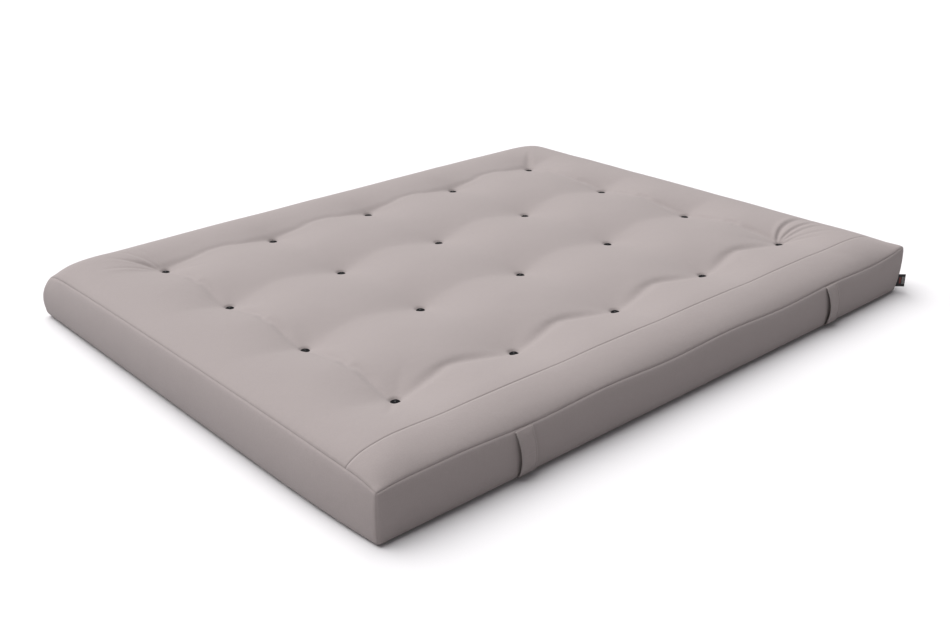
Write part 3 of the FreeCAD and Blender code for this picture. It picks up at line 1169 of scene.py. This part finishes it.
@dataclass
class CarryStrap:
    """One folded and topstitched strap, sewn into the front band's two seams."""

    node: str
    body: str
    form: CushionForm
    probe: SurfaceProbe
    cotton: bpy.types.Material
    thread: bpy.types.Material
    stand_off: float = 0.0050
    thickness: float = 0.0024
    stitch_inset: float = 0.0045
    stitch_pitch: float = 0.0038
    rows: int = 60
    columns: int = 30

    def edges(self) -> tuple[float, float]:
        """Left and right edge of the strap, from the frame."""
        low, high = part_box(self.node)
        return low[0], high[0]

    def seam_top(self, x: float) -> float:
        """Height of the band's upper seam at a length position."""
        size = self.form.sizes
        along = np.array([x / size.half_length])
        return float(self.form.seam_height(along, np.array([-1.0]))[0])

    def band_line(self, x: float, heights: np.ndarray) -> np.ndarray:
        """Smoothed Y of the band behind the strap at each height."""
        spread = np.linspace(-0.02, 0.02, 5)
        raw = np.array([np.mean([self.probe.front(x + dx, float(z)) for dx in spread]) for z in heights])
        kernel = np.array([1.0, 2.0, 3.0, 2.0, 1.0]) / 9.0
        padded = np.concatenate([raw[:1], raw[:1], raw, raw[-1:], raw[-1:]])
        return np.convolve(padded, kernel, mode="valid")

    def surface(self) -> bmesh.types.BMesh:
        """The strap's outer face as a bowed net, then its thickness behind it."""
        left, right = self.edges()
        middle = (left + right) / 2
        bottom, top = self.form.floor_seam + 0.004, self.seam_top(middle) - 0.0010
        bm = bmesh.new()
        bmesh.ops.create_grid(bm, x_segments=self.columns, y_segments=self.rows, size=0.5)
        heights = np.linspace(bottom, top, self.rows + 1)
        line = self.band_line(middle, heights)
        cloth = bm.loops.layers.uv.new("cloth")
        uv = {}
        for vert in bm.verts:
            across, up = vert.co.x + 0.5, vert.co.y + 0.5
            uv[vert] = (across * (right - left), up * (top - bottom) * 1.1)
            row = up * self.rows
            base = float(np.interp(row, np.arange(self.rows + 1), line))
            bow = math.sin(math.pi * up)
            left_lift = 0.0030 * (1 - across) ** 3 * bow ** 0.6
            from_edge = min(across, 1 - across) * (right - left)
            hem = 0.0006 * math.exp(-((from_edge - 0.001) / 0.0022) ** 2)
            groove = 0.0005 * math.exp(-((from_edge - self.stitch_inset) / 0.0009) ** 2)
            crumple = 0.0011 * noise.noise(Vector((across * 3.1, up * 9, left * 7))) * (1 - 0.7 * bow)
            off = 0.0012 + self.stand_off * bow ** 0.8 + left_lift + self.thickness + hem - groove + crumple
            taper = 1 - 0.03 * bow
            x = middle + (across - 0.5) * (right - left) * taper
            vert.co = Vector((x, base - off, bottom + up * (top - bottom)))
        for face in bm.faces:
            for loop in face.loops:
                loop[cloth].uv = uv[loop.vert]
        if sum((f.normal.y for f in bm.faces)) > 0:
            bmesh.ops.reverse_faces(bm, faces=bm.faces)
        bm.normal_update()
        bmesh.ops.solidify(bm, geom=list(bm.faces), thickness=self.thickness)
        bmesh.ops.recalc_face_normals(bm, faces=bm.faces)
        return bm

    def add_stitches(self, bm: bmesh.types.BMesh) -> None:
        """Lay the two rows of topstitches on the strap's outer face."""
        tree = BVHTree.FromBMesh(bm)
        left, right = self.edges()
        bottom, top = self.form.floor_seam + 0.009, self.seam_top((left + right) / 2) - 0.006
        count = int((top - bottom) / self.stitch_pitch)
        for x in (left + self.stitch_inset, right - self.stitch_inset):
            for number in range(count):
                z = bottom + (number + 0.5) * self.stitch_pitch
                hit, normal = tree.ray_cast(Vector((x, -1.5, z)), Vector((0, 1, 0)))[:2]
                if hit is None:
                    continue
                made = bmesh.ops.create_icosphere(bm, subdivisions=1, radius=1.0)["verts"]
                bmesh.ops.scale(bm, verts=made, vec=(0.00035, 0.00032, 0.00125))
                lean = math.atan2(normal.z, -normal.y)
                bmesh.ops.rotate(bm, verts=made, matrix=Matrix.Rotation(lean, 3, "X"))
                bmesh.ops.translate(bm, verts=made, vec=hit + normal * 0.0001)
                for face in {f for v in made for f in v.link_faces}:
                    face.material_index = 1

    def build(self) -> None:
        """Build the strap in two halves, cut across at mid-height."""
        whole = self.surface()
        self.add_stitches(whole)
        middle = (self.form.floor_seam + self.seam_top(self.edges()[0])) / 2
        for half, sign in (("upper", 1), ("lower", -1)):
            bm = whole.copy()
            bmesh.ops.bisect_plane(bm, geom=list(bm.verts) + list(bm.edges) + list(bm.faces),
                                   plane_co=(0, 0, middle), plane_no=(0, 0, -sign), clear_outer=True)
            bmesh.ops.holes_fill(bm, edges=[edge for edge in bm.edges if edge.is_boundary])
            piece = make_object(f"{self.node}_{half}", bm, [self.cotton, self.thread])
            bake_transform(piece)
            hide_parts(self.node)
        whole.free()
        log.info("%s", self.node)


@dataclass
class SideTab:
    """The folded woven tab in the front right corner seam."""

    form: CushionForm
    ribbon: bpy.types.Material
    reach: float = 0.021
    ply: float = 0.0005
    gap: float = 0.0003

    def corner(self, height: float) -> Vector:
        """Plan position of the front right corner seam at a height."""
        form = self.form
        share = (height - form.floor_seam) / (form.corner_seam - form.floor_seam)
        flat = np.array([[form.sizes.half_length, -form.sizes.half_width, share * form.band]])
        place = form.shaped(flat)[0]
        return Vector((place[0], place[1], 0.0))

    def build(self) -> None:
        """Build the tab as one folded ribbon that stands out of the corner."""
        low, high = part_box("side_tab")
        root = self.corner((low[2] + high[2]) / 2)
        out = Vector((1, -1, 0)).normalized()
        side = Vector((1, 1, 0)).normalized()
        bm = bmesh.new()
        half = self.gap / 2 + self.ply / 2
        turns = [(half * math.sin(a), half * math.cos(a)) for a in np.linspace(0, math.pi, 7)]
        line = [(-0.007, half), (0.0, half), (self.reach * 0.5, half + 0.0001)]
        line += [(self.reach + along, across) for along, across in turns]
        line += [(self.reach * 0.5, -half - 0.0001), (0.0, -half), (-0.007, -half)]
        verts = [bm.verts.new((a, s, 0)) for a, s in line]
        edges = [bm.edges.new(pair) for pair in zip(verts, verts[1:])]
        bmesh.ops.subdivide_edges(bm, edges=edges, cuts=2)
        height = high[2] - low[2]
        steps = 16
        bmesh.ops.spin(bm, geom=list(bm.verts) + list(bm.edges), cent=(0, 0, 0), axis=(0, 0, 1),
                       dvec=(0, 0, height / steps), angle=0.0, steps=steps)
        bmesh.ops.remove_doubles(bm, verts=bm.verts, dist=1e-6)
        cloth = bm.loops.layers.uv.new("cloth")
        for face in bm.faces:
            for loop in face.loops:
                loop[cloth].uv = (loop.vert.co.x, loop.vert.co.z)
        for vert in bm.verts:
            along, across, z = vert.co
            droop = 0.0009 * math.sin(z / height * math.pi * 1.3) * max(along, 0.0) / self.reach
            vert.co = root + out * along + side * (across + droop) + Vector((0, 0, low[2] + z))
        bmesh.ops.recalc_face_normals(bm, faces=bm.faces)
        bmesh.ops.solidify(bm, geom=list(bm.faces), thickness=self.ply)
        bmesh.ops.recalc_face_normals(bm, faces=bm.faces)
        piece = make_object("side_tab_ribbon", bm, [self.ribbon])
        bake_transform(piece)
        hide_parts("side_tab")
        log.info("side tab")


# ---------------------------------------------------------------- filling


@dataclass
class Filling:
    """The coir slab and the cotton wadding round it."""

    form: CushionForm
    probe: SurfaceProbe
    fluff: bpy.types.Material
    coir: bpy.types.Material
    layers: int = 3
    cells: tuple[int, int] = (96, 76)
    cloth_gap: float = 0.0035
    side_gap: float = 0.008
    map_step: float = 0.009

    def outline(self, x: float, y: float, z: float) -> tuple[float, float]:
        """Plan position of a wadding point, let out to just inside the swollen bands.

        Args:
            x: Flat position along the length.
            y: Flat position across.
            z: Height.

        Returns:
            The position in plan.
        """
        size = self.form.sizes
        place = [x, y]
        for axis, half, other in ((0, size.half_length, 0.985 * y), (1, size.half_width, 0.985 * x)):
            share = abs(place[axis]) / half
            if share > 0.7:
                sign = math.copysign(1.0, place[axis])
                limit = self.probe.reach(axis, other, z, sign) - self.side_gap
                place[axis] += sign * (limit - half) * share ** 10
        return place[0], place[1]

    def inner_face(self, side: Side) -> Height:
        """Measure the cover, and keep the innermost height round each plan position.

        Args:
            side: Upper or lower face.

        Returns:
            A function of the plan position that gives the height just inside the cover.
        """
        size = self.form.sizes
        spans = [half - 0.001 for half in (size.half_length, size.half_width)]
        lines = [np.linspace(-span, span, round(2 * span / self.map_step)) for span in spans]
        heights = np.array([[self.probe.height(float(x), float(y), side) for y in lines[1]]
                            for x in lines[0]])
        heights *= side.value
        padded = np.pad(heights, 1, mode="edge")
        rows, columns = heights.shape
        near = [padded[i:i + rows, j:j + columns] for i in range(3) for j in range(3)]
        lowest = np.min(near, axis=0) - self.cloth_gap
        steps = [line[1] - line[0] for line in lines]

        def height(x: float, y: float) -> float:
            """Height just inside the cover at a plan position."""
            along = min(max((x - lines[0][0]) / steps[0], 0.0), rows - 1.001)
            across = min(max((y - lines[1][0]) / steps[1], 0.0), columns - 1.001)
            i, j = int(along), int(across)
            u, v = along - i, across - j
            first = lowest[i, j] * (1 - v) + lowest[i, j + 1] * v
            second = lowest[i + 1, j] * (1 - v) + lowest[i + 1, j + 1] * v
            return float(first * (1 - u) + second * u) * side.value

        return height

    def slab(self, name: str, low: Height, high: Height, node: str) -> None:
        """Build one wadding layer between two height functions of the plan position.

        Args:
            name: Name of the piece.
            low: Lower height at a plan position.
            high: Upper height at a plan position.
            node: Node that it stands for.
        """
        size = self.form.sizes
        bm = bmesh.new()
        bmesh.ops.create_grid(bm, x_segments=self.cells[0], y_segments=self.cells[1], size=1.0,
                              matrix=Matrix.Diagonal((size.half_length, size.half_width, 1.0, 1.0)))
        under = list(bm.verts)
        made = bmesh.ops.extrude_face_region(bm, geom=list(bm.faces))["geom"]
        over = [g for g in made if isinstance(g, bmesh.types.BMVert)]
        for verts, height in ((under, low), (over, high)):
            for vert in verts:
                x, y = vert.co.x, vert.co.y
                z = height(0.975 * x, 0.97 * y)
                px, py = self.outline(x, y, z)
                z = height(0.994 * px, 0.993 * py)
                tuftiness = 0.0012 * noise.noise(Vector((x * 31, y * 31, z * 60)))
                vert.co = Vector((px, py, z + tuftiness * (0.4 if height is low else -1.0)))
        bmesh.ops.recalc_face_normals(bm, faces=bm.faces)
        piece = make_object(name, bm, [self.fluff])
        dress(piece, ROOT, "cotton_wadding", node)

    def build(self) -> None:
        """Build the six layers, the border roll and the core."""
        size = self.form.sizes
        for side in Side:
            face = size.core_high if side is Side.TOP else size.core_low
            word = "upper" if side is Side.TOP else "lower"
            inside = self.inner_face(side)
            for number in range(1, self.layers + 1):
                def level(x: float, y: float, share: float, gap: float) -> float:
                    """Height of a layer boundary at a plan position."""
                    return face + (inside(x, y) - face) * share + side.value * gap
                inner, outer = (number - 1) / self.layers, number / self.layers
                near = lambda x, y, s=inner: level(x, y, s, 0.0006)
                far = lambda x, y, s=outer: level(x, y, s, -0.0006)
                low, high = (near, far) if side is Side.TOP else (far, near)
                self.slab(f"wadding_{word}_{number}_web", low, high, f"wadding_{word}_{number}")
        self.build_border()
        self.build_core()
        log.info("filling")

    def build_border(self) -> None:
        """Build the roll of wadding round the core's edge."""
        size = self.form.sizes
        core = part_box("coir_core")[1]
        bm = bmesh.new()
        bmesh.ops.create_grid(bm, x_segments=96, y_segments=76, size=1.0,
                              matrix=Matrix.Diagonal((size.half_length, size.half_width, 1.0, 1.0)))
        inside = [f for f in bm.faces if abs(f.calc_center_median().x) < core.x - 0.012
                  and abs(f.calc_center_median().y) < core.y - 0.012]
        bmesh.ops.delete(bm, geom=inside, context="FACES")
        gap = 0.0015
        inner_x = min(abs(v.co.x) for v in bm.verts if v.is_boundary and abs(v.co.x) > 0.9)
        inner_y = min(abs(v.co.y) for v in bm.verts if v.is_boundary and abs(v.co.y) > 0.7)
        for vert in bm.verts:
            if abs(abs(vert.co.x) - inner_x) < 1e-4:
                vert.co.x = math.copysign(core.x + gap, vert.co.x)
            if abs(abs(vert.co.y) - inner_y) < 1e-4:
                vert.co.y = math.copysign(core.y + gap, vert.co.y)
        under = list(bm.verts)
        made = bmesh.ops.extrude_face_region(bm, geom=list(bm.faces))["geom"]
        over = [g for g in made if isinstance(g, bmesh.types.BMVert)]
        for verts, z in ((under, size.core_low + 0.0008), (over, size.core_high - 0.0008)):
            for vert in verts:
                outer = abs(vert.co.x) > size.half_length - 1e-4 or abs(vert.co.y) > size.half_width - 1e-4
                x, y = self.outline(vert.co.x, vert.co.y, z) if outer else (vert.co.x, vert.co.y)
                vert.co = Vector((x, y, z))
        bmesh.ops.recalc_face_normals(bm, faces=bm.faces)
        piece = make_object("wadding_border_roll", bm, [self.fluff])
        dress(piece, ROOT, "cotton_wadding", "wadding_border")

    def build_core(self) -> None:
        """Build the coir slab, with a rough felted surface."""
        low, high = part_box("coir_core")
        spans = high - low
        bm = bmesh.new()
        bmesh.ops.create_cube(bm, size=1.0)
        bmesh.ops.scale(bm, verts=bm.verts, vec=spans - Vector((0.002, 0.002, 0.002)))
        for axis, cuts in ((0, 131), (1, 105), (2, 3)):
            edges = [e for e in bm.edges if abs((e.verts[0].co - e.verts[1].co)[axis]) > 0.5 * spans[axis]]
            bmesh.ops.subdivide_edges(bm, edges=edges, cuts=cuts, use_grid_fill=True)
        bmesh.ops.translate(bm, verts=bm.verts, vec=(low + high) / 2)
        bm.normal_update()
        for vert in bm.verts:
            rough = noise.noise(vert.co * 55) * 0.6 + noise.noise(vert.co * 140) * 0.4
            vert.co += vert.normal * (0.0011 * rough - 0.0009)
        piece = make_object("coir_core_mat", bm, [self.coir])
        dress(piece, ROOT, "coir", "coir_core")


# ---------------------------------------------------------------- studio


@dataclass(frozen=True)
class Studio:
    """Pale floor, soft light and the camera."""

    eye: tuple[float, float, float] = (-2.121, -2.396, 1.362)
    heading: float = 41.04
    dip: float = 23.85
    roll: float = 0.91
    lens: float = 43.38

    def build(self) -> None:
        """Build the floor, lights and camera."""
        self.floor()
        self.lights()
        self.camera()
        bpy.context.scene.view_settings.view_transform = "Standard"

    def floor(self) -> None:
        """A wide plain floor."""
        bm = bmesh.new()
        bmesh.ops.create_grid(bm, x_segments=8, y_segments=8, size=30.0)
        finish = PaintedFloorFinish("pale_floor", (0.67, 0.66, 0.67))
        floor = make_object("studio_floor", bm, [finish.material()])

    def lights(self) -> None:
        """A broad overhead light from the back left, and a bright room."""
        sun = bpy.data.lights.new("sky_panel", "SUN")
        sun.energy = 5.0
        sun.angle = math.radians(70)
        lamp = bpy.data.objects.new("sky_panel", sun)
        lamp.rotation_euler = Vector((-0.10, 0.54, 1.0)).to_track_quat("Z", "Y").to_euler()
        bpy.context.scene.collection.objects.link(lamp)
        world = bpy.data.worlds.new("room")
        world.use_nodes = True
        back = world.node_tree.nodes["Background"]
        back.inputs["Color"].default_value = (1.0, 0.975, 1.0, 1.0)
        back.inputs["Strength"].default_value = 0.25
        bpy.context.scene.world = world

    def camera(self) -> None:
        """The camera at the viewing angle."""
        data = bpy.data.cameras.new("camera")
        data.lens = self.lens
        data.sensor_width = 36.0
        data.clip_end = 100.0
        camera = bpy.data.objects.new("camera", data)
        heading, dip, roll = (math.radians(a) for a in (self.heading, self.dip, self.roll))
        level = math.cos(dip)
        ahead = Vector((math.sin(heading) * level, math.cos(heading) * level, -math.sin(dip)))
        right = Vector((math.cos(heading), -math.sin(heading), 0.0))
        above = right.cross(ahead)
        turned_right = right * math.cos(roll) - above * math.sin(roll)
        turned_up = right * math.sin(roll) + above * math.cos(roll)
        frame = Matrix((turned_right, turned_up, -ahead)).transposed().to_4x4()
        camera.matrix_world = Matrix.Translation(Vector(self.eye)) @ frame
        bpy.context.scene.collection.objects.link(camera)
        bpy.context.scene.camera = camera


# ---------------------------------------------------------------- assembly


def pulled_creases() -> tuple[Crease, ...]:
    """The folds that the tufts pull in the top cloth."""
    return (
        Crease((0.752, -0.518), (0.83, -0.455), (0.990, -0.487), 0.0042, 0.0075),
        Crease((0.757, -0.524), (0.85, -0.500), (0.985, -0.540), 0.0026, 0.0055),
        Crease((0.760, -0.530), (0.86, -0.530), (0.975, -0.580), 0.0020, 0.0055),
        Crease((0.756, -0.537), (0.83, -0.565), (0.930, -0.630), 0.0014, 0.0060),
        Crease((-0.755, 0.585), (-0.80, 0.66), (-0.875, 0.715), 0.0022, 0.0065),
        Crease((-0.748, 0.590), (-0.77, 0.68), (-0.820, 0.755), 0.0022, 0.0060),
        Crease((-0.742, 0.592), (-0.74, 0.69), (-0.760, 0.770), 0.0018, 0.0060),
        Crease((-0.765, 0.578), (-0.84, 0.61), (-0.930, 0.640), 0.0018, 0.0070),
    )


def main() -> None:
    """Build the mattress and its studio."""
    logging.basicConfig(level=logging.INFO, format="%(name)s: %(message)s")
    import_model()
    sizes = MattressSizes.from_frame()
    tufts = TuftGrid()
    cotton = CottonFinish("taupe_cotton", (0.300, 0.262, 0.256)).material()
    topstitch = ThreadFinish("taupe_topstitch", (0.30, 0.265, 0.26), 0.6).material()
    felt = FeltFinish("black_felt", (0.003, 0.003, 0.0035), (0.022, 0.022, 0.024)).material()
    twine = ThreadFinish("waxed_twine", (0.02, 0.02, 0.022), 0.45).material()
    ribbon = RibbonFinish("black_ribbon", (0.012, 0.012, 0.013), (0.17, 0.035, 0.03),
                          (0.5, 0.5, 0.48)).material()
    fluff = FluffFinish("carded_cotton", (0.86, 0.85, 0.81)).material()
    coir = CoirFinish("coconut_fibre", (0.19, 0.085, 0.04), (0.42, 0.23, 0.12)).material()

    form = CushionForm(sizes, tufts, creases=pulled_creases())
    cover = Cover(form, cotton)
    skin = cover.build()
    probe = SurfaceProbe.of(skin)
    TuftSet(tufts, probe, felt, twine).build()
    TuftTwines(tufts, probe, twine).build()
    for side in ("left", "right"):
        CarryStrap(f"carry_strap_{side}", f"{side}_strap", form, probe, cotton, topstitch).build()
    SideTab(form, ribbon).build()
    Filling(form, probe, fluff, coir).build()
    bpy.data.objects.remove(skin)
    Studio().build()


if __name__ == "__main__":
    main()
